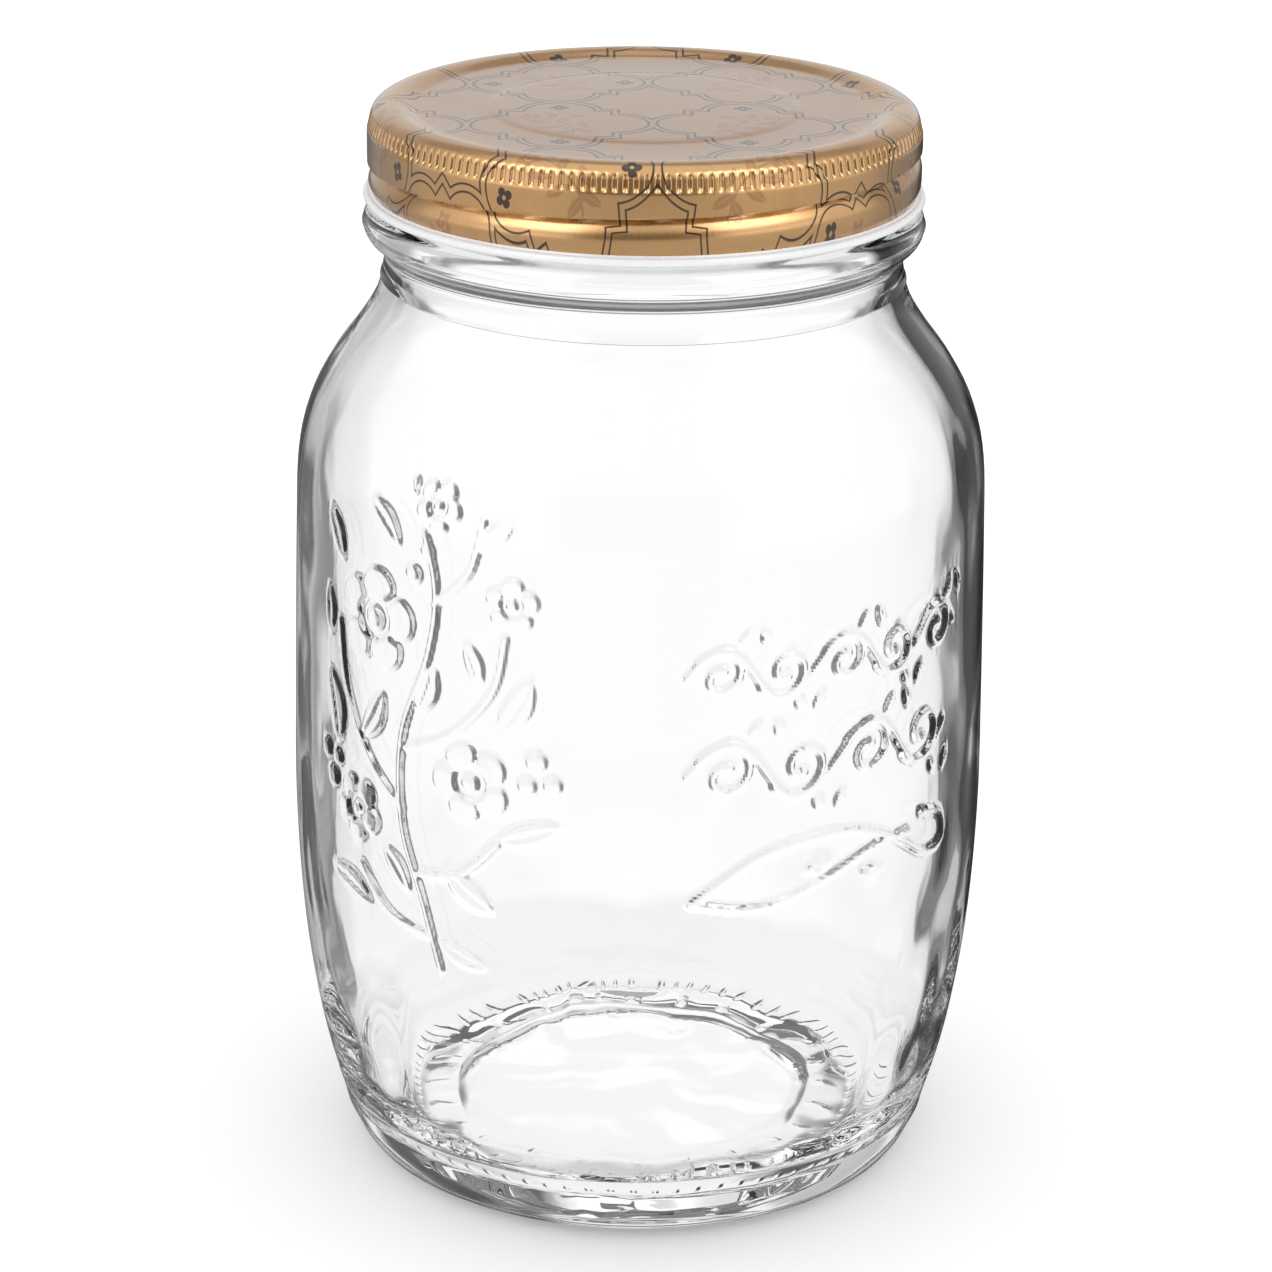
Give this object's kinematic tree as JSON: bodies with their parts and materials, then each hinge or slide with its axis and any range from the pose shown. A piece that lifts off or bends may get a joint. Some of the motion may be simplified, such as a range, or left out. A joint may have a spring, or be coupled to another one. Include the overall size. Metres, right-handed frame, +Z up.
{
  "type": "preserving jar",
  "caption": "Empty clear glass preserving jar with a rounded shoulder, a beaded neck and a printed gold metal screw lid with a knurled rim.",
  "frame": {"origin": "centre of the foot ring, on the surface the jar stands on", "axes": "+Z up along the jar's axis towards the lid; -Y towards the viewer of the picture"},
  "size_m": [0.1106, 0.1106, 0.172],
  "materials": {
    "clear_glass": "smooth clear pressed glass",
    "printed_gold_metal": "glossy gold lacquer with thin dark printed lines, white lacquered curl"
  },
  "bodies": {
    "root": {"glass_jar": "clear_glass", "lid": "printed_gold_metal"}
  },
  "joints": []
}
